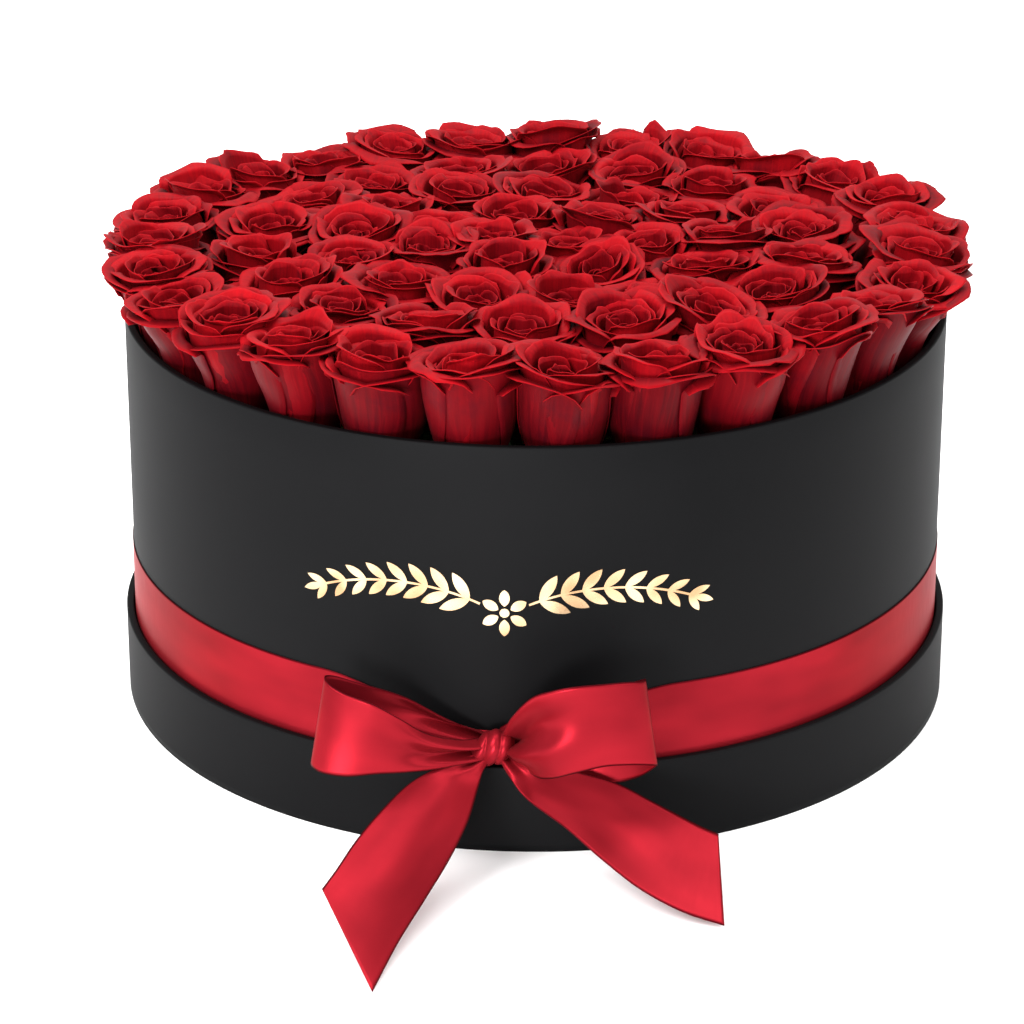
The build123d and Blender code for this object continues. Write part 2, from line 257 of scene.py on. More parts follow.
@dataclass(frozen=True)
class SatinWeave:
    """Polyester satin: long floats give soft bands of light across fine cross ribs, with woven edges.

    The floats are dyed filaments, so they mirror light in their own colour, as a coloured metal
    does. The weave is therefore half metallic, under a thin clear skin that mirrors little more.
    """

    name: str = "satin_ribbon_woven"
    deep: str = "6C1119"
    bright: str = "80161F"
    edge: str = "3E050B"
    shine: str = "D0585C"  # tint of the light that glances off the floats
    edge_share: float = 0.025  # part of the width taken by each woven edge
    rib_mm: float = 0.9  # the weft is near 0.2 mm, drawn coarser so that it shows
    rib_depth_mm: float = 0.08
    ribs_across: float = 3.0  # times that a rib changes over the ribbon's width
    sway_mm: float = 71.4  # length over which the dye sways between its two reds
    sway_across: float = 1.6
    filament_share: float = 0.5  # part of the light that the floats mirror in their own colour
    skin_ior: float = 1.16
    smoothest: float = 0.26
    roughest: float = 0.38

    def material(self) -> bpy.types.Material:
        """Returns the material; its map runs along the ribbon in metres and across it from 0 to 1."""
        material, tree, shader = new_tree(self.name)
        place = add_node(tree, "UVMap", {"uv_map": "ribbon"}).outputs["UV"]
        split = add_node(tree, "SeparateXYZ", links={"Vector": place})
        along = add_node(
            tree, "Mapping", {"Scale": (per_metre(self.rib_mm), self.ribs_across, 1.0)},
            {"Vector": place},
        )
        ribs = add_node(
            tree, "TexNoise", {"Scale": 1.0, "Detail": 1.0}, {"Vector": along.outputs["Vector"]}
        )
        broad = add_node(
            tree, "Mapping", {"Scale": (per_metre(self.sway_mm), self.sway_across, 1.0)},
            {"Vector": place},
        )
        sway = add_node(
            tree, "TexNoise", {"Scale": 1.0, "Detail": 2.0}, {"Vector": broad.outputs["Vector"]}
        )
        blend = add_node(
            tree, "MapRange", {"From Min": 0.35, "From Max": 0.65}, {"Value": sway.outputs["Fac"]}
        )
        ground = add_ramp(tree, blend.outputs["Result"], [(0.0, self.deep), (1.0, self.bright)])
        off_middle = add_node(tree, "Math", {"operation": "SUBTRACT", 1: 0.5}, {0: split.outputs["Y"]})
        reach = add_node(tree, "Math", {"operation": "ABSOLUTE"}, {0: off_middle.outputs["Value"]})
        border = add_node(
            tree, "MapRange",
            {"From Min": 0.5 - self.edge_share, "From Max": 0.5 - self.edge_share / 3},
            {"Value": reach.outputs["Value"]},
        )
        colour = add_node(
            tree, "Mix", {"data_type": "RGBA", 7: linear(self.edge)},
            {0: border.outputs["Result"], 6: ground},
        )
        tree.links.new(colour.outputs[2], shader.inputs["Base Color"])
        rough = add_node(
            tree, "MapRange", {"To Min": self.smoothest, "To Max": self.roughest},
            {"Value": ribs.outputs["Fac"]},
        )
        tree.links.new(rough.outputs["Result"], shader.inputs["Roughness"])
        bump = add_node(
            tree, "Bump", {"Strength": 0.1, "Distance": self.rib_depth_mm * MM},
            {"Height": ribs.outputs["Fac"]},
        )
        tree.links.new(bump.outputs["Normal"], shader.inputs["Normal"])
        tangent = add_node(tree, "Tangent", {"direction_type": "UV_MAP", "uv_map": "ribbon"})
        tree.links.new(tangent.outputs["Tangent"], shader.inputs["Tangent"])
        shader.inputs["Anisotropic"].default_value = 0.5
        shader.inputs["Metallic"].default_value = self.filament_share
        shader.inputs["IOR"].default_value = self.skin_ior
        shader.inputs["Specular Tint"].default_value = linear(self.shine)
        shader.inputs["Sheen Weight"].default_value = 0.02
        shader.inputs["Sheen Roughness"].default_value = 0.4
        shader.inputs["Sheen Tint"].default_value = linear("FF8C88")
        return material


@dataclass(frozen=True)
class PreservedPetal:
    """Glycerine-preserved rose petal: dense velvet red with painted shade in the heart and the cups and
    a painted highlight along the rolled lip, veined lengthwise.
    """

    name: str
    # deep is painted shade for the heart and the cups, body the petals' red, and lip the lit lips and
    # the painted highlight on the rolled edge.
    deep: str = "240206"
    body: str = "63050C"
    lip: str = "8C0810"
    bruise: str = "2C060E"
    shine: str = "FF5A58"  # tint of the light that glances off the waxy skin
    down: str = "F08890"  # tint of the fine down that gives the velvet look
    sheen: float = 0.015
    veins_across: float = 26.0  # veins over a petal's width
    veins_along: float = 1.8  # times that a vein changes over a petal's length
    vein_depth_mm: float = 0.35
    blotches: float = 2.2  # bruised patches over a petal
    lip_highlight_from: float = 0.93  # share of the length where the painted highlight along the rolled lip begins

    def material(self) -> bpy.types.Material:
        """Returns the material; its map runs across the petal in X and from base to lip in Y."""
        material, tree, shader = new_tree(self.name)
        place = add_node(tree, "UVMap", {"uv_map": "petal"}).outputs["UV"]
        split = add_node(tree, "SeparateXYZ", links={"Vector": place})
        tone = add_node(tree, "Attribute", {"attribute_name": "petal_shade_and_tone"})
        shade_and_tones = add_node(tree, "SeparateColor", links={"Color": tone.outputs["Color"]})
        long_way = add_node(
            tree, "Mapping", {"Scale": (self.veins_across, self.veins_along, 1.0)}, {"Vector": place}
        )
        veins = add_node(
            tree, "TexNoise", {"Scale": 1.0, "Detail": 3.0, "Roughness": 0.55, "Distortion": 0.6},
            {"Vector": long_way.outputs["Vector"]},
        )
        blotch = add_node(
            tree, "TexNoise", {"Scale": self.blotches, "Detail": 4.0, "Roughness": 0.6},
            {"Vector": place},
        )
        # The ground colour follows three quarters of the petal's painted shade and own tone and half of
        # its veins.
        shade = add_node(
            tree, "Math", {"operation": "MULTIPLY_ADD", 1: 0.5, 2: 0.0}, {0: veins.outputs["Fac"]}
        )
        depth = add_node(
            tree, "Math", {"operation": "MULTIPLY_ADD", 1: 0.75},
            {0: shade_and_tones.outputs["Red"], 2: shade.outputs["Value"]},
        )
        # The ramp goes from painted shade through the body red to the lit lips.
        ground = add_ramp(
            tree, depth.outputs["Value"], [(0.12, self.deep), (0.62, self.body), (1.0, self.lip)]
        )
        bruised = add_node(
            tree, "MapRange", {"From Min": 0.52, "From Max": 0.70, "To Max": 0.6},
            {"Value": blotch.outputs["Fac"]},
        )
        mixed = add_node(
            tree, "Mix", {"data_type": "RGBA", 7: linear(self.bruise)},
            {0: bruised.outputs["Result"], 6: ground},
        )
        # Painted highlight: towards the end of the petal the colour is drawn to the lip red, where light
        # catches the rolled edge.
        rim = add_node(
            tree, "MapRange", {"From Min": self.lip_highlight_from, "From Max": 1.0, "To Max": 0.6},
            {"Value": split.outputs["Y"]},
        )
        lip_highlit = add_node(
            tree, "Mix", {"data_type": "RGBA", 7: linear(self.lip)},
            {0: rim.outputs["Result"], 6: mixed.outputs[2]},
        )
        tree.links.new(lip_highlit.outputs[2], shader.inputs["Base Color"])
        rough = add_node(
            tree, "MapRange", {"To Min": 0.42, "To Max": 0.62}, {"Value": veins.outputs["Fac"]}
        )
        tree.links.new(rough.outputs["Result"], shader.inputs["Roughness"])
        bump = add_node(
            tree, "Bump", {"Strength": 0.35, "Distance": self.vein_depth_mm * MM},
            {"Height": veins.outputs["Fac"]},
        )
        tree.links.new(bump.outputs["Normal"], shader.inputs["Normal"])
        shader.inputs["IOR"].default_value = 1.2
        shader.inputs["Specular Tint"].default_value = linear(self.shine)
        shader.inputs["Sheen Weight"].default_value = self.sheen
        shader.inputs["Sheen Roughness"].default_value = 0.5
        shader.inputs["Sheen Tint"].default_value = linear(self.down)
        return material


@dataclass(frozen=True)
class PlantGreen:
    """Dyed rose stem and sepal: olive green with lengthwise streaks, waxy but dull."""

    name: str
    deep: str = "2E3D1C"
    pale: str = "5E7236"
    streak_mm: float = 1.11  # width of a streak
    streak_length_mm: float = 16.67
    streak_depth_mm: float = 0.1

    def material(self) -> bpy.types.Material:
        """Returns the finished material."""
        material, tree, shader = new_tree(self.name)
        place = add_node(tree, "TexCoord").outputs["Object"]
        thin, long = per_metre(self.streak_mm), per_metre(self.streak_length_mm)
        long_way = add_node(tree, "Mapping", {"Scale": (thin, thin, long)}, {"Vector": place})
        streaks = add_node(
            tree, "TexNoise", {"Scale": 1.0, "Detail": 2.0}, {"Vector": long_way.outputs["Vector"]}
        )
        colour = add_ramp(tree, streaks.outputs["Fac"], [(0.3, self.deep), (0.7, self.pale)])
        tree.links.new(colour, shader.inputs["Base Color"])
        bump = add_node(
            tree, "Bump", {"Strength": 0.2, "Distance": self.streak_depth_mm * MM},
            {"Height": streaks.outputs["Fac"]},
        )
        tree.links.new(bump.outputs["Normal"], shader.inputs["Normal"])
        shader.inputs["Roughness"].default_value = 0.6
        return material


@dataclass(frozen=True)
class CellFoam:
    """Foam with open pores or fused beads: matte, pitted at the size of its cells, with painted shade in
    the pits.
    """

    name: str
    shaded_hollow: str
    solid: str
    cell_mm: float
    pit_mm: float

    def material(self) -> bpy.types.Material:
        """Returns the finished material."""
        material, tree, shader = new_tree(self.name)
        place = add_node(tree, "TexCoord").outputs["Object"]
        cells = add_node(tree, "TexVoronoi", {"Scale": per_metre(self.cell_mm)}, {"Vector": place})
        # Painted shade: the colour darkens away from each cell's middle, into the pits and the seams
        # between beads.
        colour = add_ramp(tree, cells.outputs["Distance"], [(0.1, self.solid), (0.75, self.shaded_hollow)])
        tree.links.new(colour, shader.inputs["Base Color"])
        bump = add_node(
            tree, "Bump", {"Strength": 0.6, "Distance": self.pit_mm * MM, "invert": True},
            {"Height": cells.outputs["Distance"]},
        )
        tree.links.new(bump.outputs["Normal"], shader.inputs["Normal"])
        shader.inputs["Roughness"].default_value = 0.95
        return material


# ---- Surfaces ---------------------------------------------------------------------------------
@dataclass
class Surface:
    """A grid of points with a map, and optional painted shade and tone; it may be closed on itself
    either way.
    """

    points: np.ndarray  # rows, columns, 3
    chart: np.ndarray  # rows, columns, 2
    tone: np.ndarray | None = None  # rows, columns
    wrap_rows: bool = False
    wrap_columns: bool = False

    def quads(self) -> np.ndarray:
        """Returns the four corner numbers of each cell of the grid."""
        rows, columns = self.points.shape[:2]
        numbers = np.arange(rows * columns).reshape(rows, columns)
        if self.wrap_rows:
            numbers = np.vstack([numbers, numbers[:1]])
        if self.wrap_columns:
            numbers = np.hstack([numbers, numbers[:, :1]])
        corners = (numbers[:-1, :-1], numbers[:-1, 1:], numbers[1:, 1:], numbers[1:, :-1])
        return np.stack([c.ravel() for c in corners], axis=1)


def make_piece(
    name: str, surfaces: list[Surface], finish: bpy.types.Material, chart_name: str
) -> bpy.types.Object:
    """Puts one or more surfaces into one smooth mesh object.

    Args:
        name: the piece's name.
        surfaces: the grids that make it up.
        finish: its material.
        chart_name: the name of its map.

    Returns:
        The new object, at the origin.
    """
    starts = np.cumsum([0] + [s.points.shape[0] * s.points.shape[1] for s in surfaces])
    points = np.concatenate([s.points.reshape(-1, 3) for s in surfaces])
    chart = np.concatenate([s.chart.reshape(-1, 2) for s in surfaces])
    quads = np.concatenate([s.quads() + start for s, start in zip(surfaces, starts)])
    mesh = bpy.data.meshes.new(name)
    mesh.vertices.add(len(points))
    mesh.vertices.foreach_set("co", points.ravel())
    mesh.loops.add(quads.size)
    mesh.loops.foreach_set("vertex_index", quads.ravel())
    mesh.polygons.add(len(quads))
    mesh.polygons.foreach_set("loop_start", np.arange(0, quads.size, 4))
    mesh.polygons.foreach_set("use_smooth", np.ones(len(quads), bool))
    mesh.update(calc_edges=True)
    layer = mesh.uv_layers.new(name=chart_name)
    layer.data.foreach_set("uv", chart[quads.ravel()].ravel())
    # The petals' painted shade, with their own uneven tone, goes on the points as a colour attribute.
    if surfaces[0].tone is not None:
        tone = np.concatenate([s.tone.ravel() for s in surfaces])
        greys = np.stack([tone, tone, tone, np.ones_like(tone)], axis=1)
        attribute = mesh.color_attributes.new("petal_shade_and_tone", "FLOAT_COLOR", "POINT")
        attribute.data.foreach_set("color", greys.ravel())
    mesh.materials.append(finish)
    piece = bpy.data.objects.new(name, mesh)
    bpy.context.scene.collection.objects.link(piece)
    return piece


def thicken(piece: bpy.types.Object, thickness: float, offset: float = 0.0) -> None:
    """Gives a sheet its thickness.

    Args:
        piece: the sheet.
        thickness: in metres.
        offset: -1 puts it behind the faces, 0 to both sides, 1 in front.
    """
    solid = piece.modifiers.new("thickness", "SOLIDIFY")
    solid.thickness = thickness
    solid.offset = offset


def through(points: list[tuple], count: int) -> np.ndarray:
    """Draws a smooth line through points.

    Between each two points the line is a cubic in t, the share of the way, whose slope at each
    point is half the step between the points on either side of it.

    Args:
        points: places or other rows of numbers, at least three.
        count: how many rows to return.

    Returns:
        count rows along the line, evenly spaced by the points' numbers.
    """
    rows = np.array(points, float)
    padded = np.vstack([2 * rows[0] - rows[1], rows, 2 * rows[-1] - rows[-2]])
    place = np.linspace(0, len(rows) - 1, count)
    span = np.minimum(place.astype(int), len(rows) - 2)
    t = (place - span)[:, None]
    p0, p1, p2, p3 = (padded[span + k] for k in range(4))
    square, cube = 2 * p0 - 5 * p1 + 4 * p2 - p3, 3 * p1 - p0 - 3 * p2 + p3
    return 0.5 * (2 * p1 + (p2 - p0) * t + square * t**2 + cube * t**3)


def ease(x: np.ndarray) -> np.ndarray:
    """Rises smoothly from 0 to 1 as x goes from 0 to 1, as 3 x squared less 2 x cubed."""
    x = np.clip(x, 0.0, 1.0)
    return x * x * (3 - 2 * x)


def turn_between(angle: np.ndarray, place: float) -> np.ndarray:
    """Returns the size of the smaller turn, in radians, between each angle and a place."""
    return np.abs((angle - place + math.pi) % (2 * math.pi) - math.pi)


# ---- The covered walls ------------------------------------------------------------------------
@dataclass
class PaperBand:
    """Covering paper on a round wall: up the outside, over a rounded rim, and down the inside."""

    node: str
    body: str
    turn_in: float  # how far the paper comes down the inside
    wall: float = 4.0 * MM  # from the outer skin to the inner one
    rim_round: float = 1.0 * MM
    paper: float = 0.45 * MM
    around: int = 288
    wall_rows: int = 12
    seam_angle: float = math.radians(168)  # a little off the middle of the back
    seam_width: float = 14 * MM
    seam_rise: float = 0.25 * MM
    seam_edge: float = 0.8 * MM  # distance over which the overlap rises
    outer: float = field(init=False)
    inner: float = field(init=False)
    foot: float = field(init=False)
    rim: float = field(init=False)

    def __post_init__(self) -> None:
        """Reads the wall's sizes from the node that it covers."""
        low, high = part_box(self.node)
        self.outer = (high[0] - low[0]) / 2
        self.foot, self.rim = low[2], high[2]
        self.inner = self.outer - self.wall

    def outline(self) -> np.ndarray:
        """Works out the paper's section: its outer skin up, over and in, then its inner skin back.

        Each of the rim's two corners is a quarter circle; the inner skin follows a paper's thickness
        away, so the section is closed.

        Returns:
            Rows of (radius, height).
        """
        skins = []
        arc = np.linspace(0, math.pi / 2, 7)
        turn_at = self.rim - self.rim_round  # height at which the skin begins to turn over
        for inset in (0.0, self.paper):
            turn = self.rim_round - inset
            outer_arc = np.stack([np.cos(arc), np.sin(arc)], 1) * turn
            inner_arc = np.stack([-np.sin(arc), np.cos(arc)], 1) * turn
            outer_arc += [self.outer - self.rim_round, turn_at]
            inner_arc += [self.inner + self.rim_round, turn_at]
            straight = np.linspace(self.foot, turn_at, self.wall_rows, endpoint=False)
            wall = np.stack([np.full(self.wall_rows, self.outer - inset), straight], 1)
            inside = self.inner + inset
            down = [[inside, self.rim - self.turn_in / 2], [inside, self.rim - self.turn_in]]
            skins.append(np.vstack([wall, outer_arc, inner_arc, down]))
        return np.vstack([skins[0], skins[1][::-1]])

    def build(self, finish: bpy.types.Material) -> bpy.types.Object:
        """Carries the section round the axis, with the overlap of the paper's ends raised at the back.

        Args:
            finish: the paper's material.

        Returns:
            The finished piece.
        """
        section = self.outline()
        radius, height = section[:, 0, None], section[:, 1, None]
        angle = np.linspace(0, 2 * math.pi, self.around, endpoint=False)
        off_seam = turn_between(angle, self.seam_angle) * self.outer
        lift = self.seam_rise * ease((self.seam_width / 2 - off_seam) / self.seam_edge)
        radius = radius + lift[None, :] * (radius > self.outer - self.paper / 2)
        points = np.stack(
            np.broadcast_arrays(radius * np.sin(angle), -radius * np.cos(angle), height), -1
        )
        chart = np.stack(np.broadcast_arrays(angle[None, :] * self.outer, height), -1)
        surface = Surface(points, chart, wrap_rows=True, wrap_columns=True)
        piece = make_piece(f"{self.node}_skin", [surface], finish, "paper")
        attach(piece, self.body)
        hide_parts(self.node)
        return piece


# ---- The ribbon -------------------------------------------------------------------------------
@dataclass
class RibbonBand:
    """The ribbon round the wall, drawn together in pleats where it runs into the knot."""

    knot: np.ndarray
    gathered_for: float = 7 * MM  # fully gathered this far from the knot's middle
    gather_reach: float = 82 * MM
    gathered_half: float = 5.5 * MM
    gathered_drop: float = 1.5 * MM  # the gathered part sits this much below the knot's middle
    pleats: float = 3.0
    pleat_height: float = 1.6 * MM
    off_wall: float = 0.9 * RIBBON_PLY  # where the middle of the cloth lies on the wall
    around: int = 420
    across: int = 33

    def build(self, finish: bpy.types.Material) -> bpy.types.Object:
        """Wraps the band on the cylinder and narrows it towards the knot.

        The half-width falls smoothly from the full one to the gathered one as the distance from the
        knot shrinks, and the lost width goes into radial pleats, a sine across the ribbon.

        Args:
            finish: the satin.

        Returns:
            The finished piece.
        """
        low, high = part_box("ribbon_band")
        wall_low, wall_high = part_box("box_outer_cover")
        wall = (wall_high[0] - wall_low[0]) / 2
        angle = np.linspace(0, 2 * math.pi, self.around, endpoint=False)
        across = np.linspace(-1, 1, self.across)[:, None]
        away = turn_between(angle, math.atan2(self.knot[0], -self.knot[1])) * wall
        open_share = ease((away - self.gathered_for) / self.gather_reach) ** 0.8
        half = self.gathered_half + (RIBBON_WIDTH / 2 - self.gathered_half) * open_share
        at_knot = self.knot[2] - self.gathered_drop
        middle = at_knot + ((low[2] + high[2]) / 2 - at_knot) * open_share
        folded = (1 - open_share) ** 1.5
        pleat = 0.5 + 0.5 * np.cos(across * math.pi * self.pleats)
        radius = wall + self.off_wall + folded * self.pleat_height * pleat
        height = middle + across * half
        points = np.stack([radius * np.sin(angle), -radius * np.cos(angle), height], -1)
        chart = np.stack(np.broadcast_arrays(angle[None, :] * wall, (across + 1) / 2), -1)
        surface = Surface(points, chart, wrap_columns=True)
        piece = make_piece("ribbon_band_satin", [surface], finish, "ribbon")
        thicken(piece, RIBBON_PLY)
        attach(piece, "box")
        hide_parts("ribbon_band")
        return piece


@dataclass
class RibbonStrip:
    """A length of the bow: a strip between two edges, pleated where the knot grips it."""

    name: str
    node: str
    edges: list[tuple]  # in millimetres: (x, y, z) of one edge and (x, y, z) of the other
    held: str
    rests_on: str
    pleats: float = 1.5
    pleat_height: float = 2.2 * MM
    pleat_ends: tuple[float, float] = (1.0, 0.0)  # how deep the pleats are at the start and the end
    grip_reach: float = 0.24  # share of the length that the pleats run into
    phase: float = 0.0  # moves the pleats sideways
    belly: float = 0.0  # bow across the width, half-way along
    rows: int = 90
    columns: int = 25

    def build(self, finish: bpy.types.Material) -> bpy.types.Object:
        """Rules the strip between its two smooth edges and lays pleats and a belly on it.

        A point is the share of the way from one edge to the other; along the surface's normal it
        moves by a sine of that share, strongest at the gripped ends, and by a bow across the width.

        Args:
            finish: the satin.

        Returns:
            The finished piece.
        """
        line = through(self.edges, self.rows) * MM
        share = np.linspace(0, 1, self.columns)[None, :]
        along = np.linspace(0, 1, self.rows)[:, None]
        first, second = line[:, None, :3], line[:, None, 3:]
        points = first * (1 - share[..., None]) + second * share[..., None]
        run = np.gradient(points.mean(axis=1), axis=0)[:, None, :]
        normal = np.cross(run, second - first)
        normal /= np.linalg.norm(normal, axis=-1, keepdims=True)
        grip = self.pleat_ends[0] * (1 - ease(along / self.grip_reach))
        grip = grip + self.pleat_ends[1] * ease((along - 1 + self.grip_reach) / self.grip_reach)
        wave = np.sin(share * 2 * math.pi * self.pleats + self.phase) * grip * self.pleat_height
        bow = self.belly * np.sin(share * math.pi) * np.sin(along * math.pi)
        points = points + normal * (wave + bow)[..., None]
        steps = np.linalg.norm(np.diff(points.mean(axis=1), axis=0), axis=1)
        length = np.concatenate([[0], np.cumsum(steps)])
        chart = np.stack(np.broadcast_arrays(length[:, None], share), -1)
        piece = make_piece(self.name, [Surface(points, chart)], finish, "ribbon")
        thicken(piece, RIBBON_PLY)
        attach(piece, "box")
        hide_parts(self.node)
        return piece


@dataclass
class BowKnot:
    """The knot: ribbon wound once over the gathered middle, with folds that run round it."""

    centre: np.ndarray
    half_width: float = 9.6 * MM
    radius: float = 8.8 * MM
    depth_share: float = 0.92  # front to back, as a share of the radius
    height_share: float = 1.02
    folds: float = 3.0
    fold_height: float = 1.5 * MM
    dent_depth: float = 0.6 * MM
    slant: float = 0.38  # how far the folds lean to the right on their way up
    climb: float = 0.8 * MM  # how far each end stands above or below the middle
    across: int = 61
    around: int = 72

    def build(self, finish: bpy.types.Material) -> bpy.types.Object:
        """Makes a rounded drum about the X axis whose skin is creased lengthwise and slightly twisted.

        The radius falls towards both ends as a superellipse of the place across, s, from -1 to 1,
        and carries round folds with sharp creases between them, the absolute value of a sine whose
        place wanders as it goes round; the whole drum is sheared so that the folds slant. The grid
        runs from right to left, so that the skin faces outwards.

        Args:
            finish: the satin.

        Returns:
            The finished piece.
        """
        across = np.sin(np.linspace(math.pi / 2, -math.pi / 2, self.across))
        angle = np.linspace(0, 2 * math.pi, self.around, endpoint=False)
        s, a = np.meshgrid(across, angle, indexing="ij")
        body = (1 - np.abs(s) ** 3.4) ** (1 / 2.2)  # flat in the middle, rounded at both ends
        place = self.folds * (s + 1) / 2 + 0.22 * np.sin(a + 0.6) - 0.12 * np.cos(2 * a)
        crease = self.fold_height * (np.abs(np.sin(math.pi * place)) ** 0.6 - 0.6) * body
        dent = self.dent_depth * np.sin(2 * a + 3 * s) * body
        radius = self.radius * body + crease + dent
        up = radius * np.sin(a) * self.height_share
        x = self.centre[0] + self.half_width * s * (1 + 0.08 * np.cos(a)) + self.slant * up
        y = self.centre[1] - radius * np.cos(a) * self.depth_share
        z = self.centre[2] + up + self.climb * s
        chart = np.stack([a * self.radius, (s + 1) / 2], -1)
        surface = Surface(np.stack([x, y, z], -1), chart, wrap_columns=True)
        piece = make_piece("bow_knot_satin", [surface], finish, "ribbon")
        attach(piece, "box")
        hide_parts("bow_knot")
        return piece


# Bow loops, in millimetres: from the knot out along the back ply, round the fold, and back along
# the front ply. Each row is the ribbon's lower edge (x, y, z) and upper edge (x, y, z) there.
LEFT_LOOP = [
    (-9, -214, 56, -9, -214, 63),
    (-28, -218, 57, -27, -217, 72),
    (-48, -221, 56, -47, -220, 84),
    (-70, -226, 56, -68, -224, 92),
    (-85, -232, 56.5, -79, -228, 97),
    (-89.5, -240, 56.5, -83, -232, 98.5),
    (-84, -247, 55.5, -80, -237, 96.5),
    (-72, -249.5, 55, -72, -241.5, 94),
    (-58, -248, 56, -60, -244, 91),
    (-45, -243, 55, -47, -241, 82),
    (-32, -236, 54, -34, -235, 71),
    (-17, -228, 54.5, -20, -229, 65),
    (-9, -223, 54.5, -10, -223, 63),
]
RIGHT_LOOP = [
    (-3, -214, 57, -3, -214, 64),
    (12, -219, 50, 12, -216, 76),
    (24, -222, 45, 24, -219, 84),
    (36, -225, 42, 36, -221, 88),
    (50, -227, 44, 50, -223, 92),
    (65, -231, 50.5, 61, -227, 98),
    (73.5, -238, 60, 67.5, -233, 103),
    (72.5, -244, 63.5, 66, -239, 104.5),
    (62, -249.5, 66, 58, -244, 106),
    (50, -252, 66, 48, -248, 106.5),
    (37, -253, 62.5, 36, -250, 106),
    (26, -251, 58, 26, -248, 103),
    (17, -245, 54.5, 17, -243, 97),
    (10, -236, 54, 9, -234, 83),
    (5, -223, 55, 4, -222, 67),
]
# Tails, in millimetres: from the knot to the cut end. Each row is the ribbon's left edge (x, y, z)
# and right edge (x, y, z) there.
LEFT_TAIL = [
    (-13, -224, 56, -5, -224, 54),
    (-28, -233, 54, -8.5, -230.5, 51),
    (-42, -244, 50, -10.5, -236, 45),
    (-53, -261, 45, -14, -252, 35),
    (-63.5, -279.5, 38, -21, -272, 25),
    (-71, -297, 31.5, -30, -295, 16.5),
    (-75, -306, 28.5, -40, -323, 8.5),
    (-76.5, -309.5, 27.5, -48.5, -356, 1.2),
]
RIGHT_TAIL = [
    (-2, -224, 55, 3, -222, 59),
    (4, -234, 50, 14, -232, 58),
    (13, -243, 43, 30, -232, 54),
    (32, -252, 33, 54, -230.5, 47),
    (49, -263, 23.5, 70, -232, 39.5),
    (68, -274, 14, 84, -234, 33),
    (88, -281.5, 7, 95, -236.5, 28.5),
    (108, -284.5, 2, 103.5, -238, 25.5),
]


@dataclass
class RibbonAndBow:
    """All of the ribbon: the band, the knot, two loops and two tails."""

    knot_shift: tuple[float, float, float] = (1.2 * MM, -2.0 * MM, -2.6 * MM)  # off the CAD's knot
    loop_pleat_height: float = 4.2 * MM
    tail_belly: float = 2.5 * MM

    def loop(self, side: str, edges: list[tuple], grip_reach: float, phase: float) -> RibbonStrip:
        """Describes a loop, pleated at both of its ends.

        Args:
            side: left or right.
            edges: its edges.
            grip_reach: share of its length that the pleats run into.
            phase: moves its pleats sideways.

        Returns:
            The strip, not yet built.
        """
        return RibbonStrip(
            f"bow_loop_{side}_satin", f"bow_loop_{side}", edges, "folded", "ribbon_band_satin",
            pleat_height=self.loop_pleat_height, pleat_ends=(1.0, 1.0), grip_reach=grip_reach,
            phase=phase,
        )

    def tail(self, side: str, edges: list[tuple], belly: float) -> RibbonStrip:
        """Describes a tail, pleated at the knot.

        Args:
            side: left or right.
            edges: its edges.
            belly: its bow across the width, half-way along.

        Returns:
            The strip, not yet built.
        """
        return RibbonStrip(
            f"bow_tail_{side}_satin", f"bow_tail_{side}", edges, "draped", "floor", belly=belly
        )

    def build(self) -> list[bpy.types.Object]:
        """Builds and dresses every ribbon piece.

        Returns:
            The pieces.
        """
        satin = SatinWeave().material()
        low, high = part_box("bow_knot")
        centre = (np.array(low) + np.array(high)) / 2 + np.array(self.knot_shift)
        strips = [
            self.loop("left", LEFT_LOOP, grip_reach=0.32, phase=0.9),
            self.loop("right", RIGHT_LOOP, grip_reach=0.36, phase=1.9),
            self.tail("left", LEFT_TAIL, self.tail_belly),
            self.tail("right", RIGHT_TAIL, -self.tail_belly),
        ]
        band = RibbonBand(centre).build(satin)
        return [band, BowKnot(centre).build(satin)] + [strip.build(satin) for strip in strips]


# ---- The roses --------------------------------------------------------------------------------
class Stand(Enum):
    """Where a rose stands, which decides its body and whether it leans out over the rim."""

    RIM = "at the box rim"
    FIELD = "inside the outer ring"
    LIFTED = "the one that can be pulled out"


@dataclass(frozen=True)
class Whorl:
    """One turn of petals in a rose head."""

    petals: int
    radius: float  # share of the cup's radius where the petals stand up
    rise: float  # height of the petals over the cup's lip, in millimetres
    half_angle: float  # half of a petal's reach round the head, in degrees
    curl: float  # how far the lip turns over, in degrees
    curl_round: float  # radius of that turn, in millimetres
    lip: float  # width of the flat lip after the turn, in millimetres
    close: float  # how far the petals lean inwards at the top, as a share of their radius
    tuck: float  # how far one side slips under its neighbour, as a share of the cup's radius
    # The next value is painted shade and light: dark for the heart and the outer cups, which lie in
    # shade, lighter for the lips between.
    tone: float  # lightness from 0 to 1


WHORLS = (
    Whorl(3, 0.985, -3.2, 84, 100, 2.2, 4.0, 0.0, 0.018, 0.26),
    Whorl(3, 0.940, 0.2, 74, 94, 2.4, 3.6, 0.0, 0.035, 0.58),
    Whorl(3, 0.810, 2.2, 72, 78, 2.4, 3.0, 0.0, 0.070, 0.72),
    Whorl(3, 0.650, 2.8, 76, 56, 2.2, 1.9, 0.0, 0.100, 0.68),
    Whorl(3, 0.490, 1.6, 84, 38, 1.8, 0.8, 0.04, 0.110, 0.58),
    Whorl(3, 0.340, -0.8, 96, 24, 1.4, 0.4, 0.10, 0.090, 0.46),
    Whorl(2, 0.190, -2.8, 140, 12, 1.0, 0.0, 0.20, 0.080, 0.36),
)


def tent(s: np.ndarray, middle: float, half: float) -> np.ndarray:
    """Falls evenly from 1 at the middle to 0 at the distance called half, on both sides."""
    return np.clip(1 - np.abs(s - middle) / half, 0, 1)


